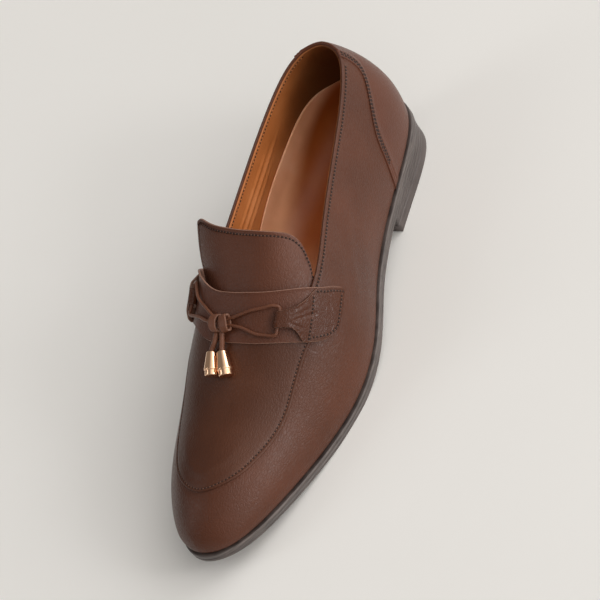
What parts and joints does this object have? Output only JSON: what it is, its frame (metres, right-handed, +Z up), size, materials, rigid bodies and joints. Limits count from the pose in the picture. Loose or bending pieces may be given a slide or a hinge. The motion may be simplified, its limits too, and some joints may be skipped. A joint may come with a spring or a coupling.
{
  "type": "tassel loafer",
  "caption": "Slip-on leather dress loafer with apron seam, saddle strap with folded loops, a thin leather lace tied in a bow with metal tips, and a low stacked heel.",
  "frame": {"origin": "middle of the shoe's plan box, on the floor plane under heel and forefoot", "axes": "+Z up from the floor, -Y towards the toe and +Y towards the heel, +X towards the lateral side (the wearer's left)"},
  "size_m": [0.1014, 0.3007, 0.0918],
  "materials": {
    "upper_leather": "smooth calf, polished semi-gloss",
    "tongue_leather": "smooth calf, polished semi-gloss",
    "strap_leather": "smooth calf, polished semi-gloss",
    "tab_leather": "smooth calf, polished semi-gloss",
    "lace_leather": "thin leather thong, semi-gloss",
    "insole_leather": "vegetable tanned lining leather, satin",
    "sole_leather": "dyed and waxed sole edge, satin",
    "heel_leather": "stacked leather, dyed and waxed edge, satin",
    "heel_rubber": "moulded rubber, matte",
    "tip_metal": "rose gold plated, polished"
  },
  "bodies": {
    "root": {"outsole": "sole_leather", "heel_stack": "heel_leather", "heel_top_piece": "heel_rubber", "insole": "insole_leather", "upper": "upper_leather", "tongue": "tongue_leather", "saddle_strap": "strap_leather", "tab_lateral": "tab_leather", "tab_medial": "tab_leather", "lace_knot": "lace_leather", "lace_loop_lateral": "lace_leather", "lace_loop_medial": "lace_leather", "lace_end_a": "lace_leather", "lace_end_b": "lace_leather", "metal_tip_a": "tip_metal", "metal_tip_b": "tip_metal"}
  },
  "joints": []
}
